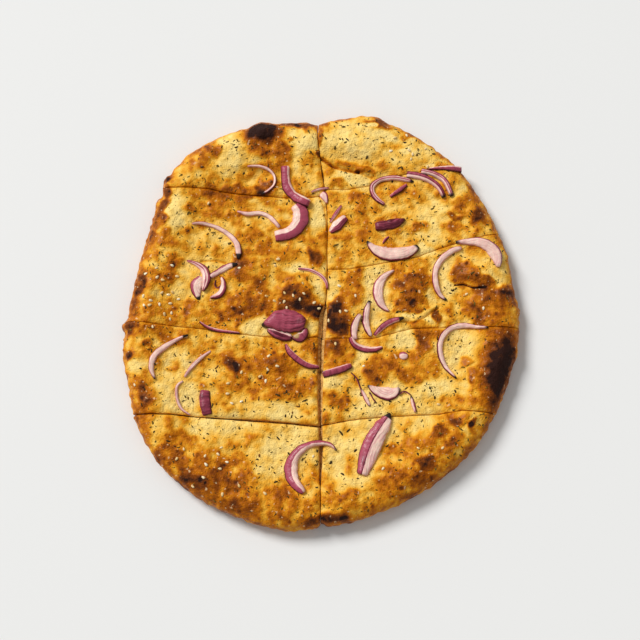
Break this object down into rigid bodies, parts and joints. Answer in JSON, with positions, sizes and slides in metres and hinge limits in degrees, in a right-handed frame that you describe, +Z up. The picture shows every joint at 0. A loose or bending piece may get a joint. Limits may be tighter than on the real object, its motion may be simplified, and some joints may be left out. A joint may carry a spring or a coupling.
{
  "type": "flatbread",
  "caption": "Round baked flatbread with a puffed rim, cut by knife into pieces, with slices of red onion, seeds and herb flakes on its crust.",
  "frame": {"origin": "centre of the bounding box in X and Y, on the flat underside", "axes": "+Z up, from the underside to the crust; +Y along the longer side, away from the viewer; +X to the right"},
  "size_m": [0.207, 0.2214, 0.0166],
  "materials": {
    "crust": "baked crust, mottled from pale yellow to brown, with dark blisters and a faint oily sheen",
    "onion": "cooked red onion, purple outside and pale pink inside, moist"
  },
  "bodies": {
    "root": {"bread_left_1": "crust", "bread_left_2": "crust", "bread_left_3": "crust", "bread_left_4": "crust", "bread_right_1": "crust", "bread_right_2": "crust", "bread_right_3": "crust", "bread_right_4": "crust", "bread_right_5": "crust", "onion_01": "onion", "onion_02": "onion", "onion_03": "onion", "onion_04": "onion", "onion_05": "onion", "onion_06": "onion", "onion_07": "onion", "onion_08": "onion", "onion_09": "onion", "onion_10": "onion", "onion_11": "onion", "onion_12": "onion", "onion_13": "onion", "onion_14": "onion", "onion_15": "onion", "onion_16": "onion", "onion_17": "onion", "onion_18": "onion", "onion_19": "onion", "onion_20": "onion", "onion_21": "onion", "onion_22": "onion", "onion_23": "onion", "onion_24": "onion", "onion_25": "onion", "onion_26": "onion", "onion_27": "onion", "onion_28": "onion", "onion_29": "onion", "onion_30": "onion", "onion_31": "onion", "onion_32": "onion", "onion_33": "onion", "onion_34": "onion", "onion_35": "onion", "onion_36": "onion", "onion_37": "onion", "onion_38": "onion", "onion_39": "onion", "onion_40": "onion", "onion_41": "onion", "onion_42": "onion", "onion_43": "onion", "onion_44": "onion", "onion_45": "onion", "onion_46": "onion"}
  },
  "joints": []
}
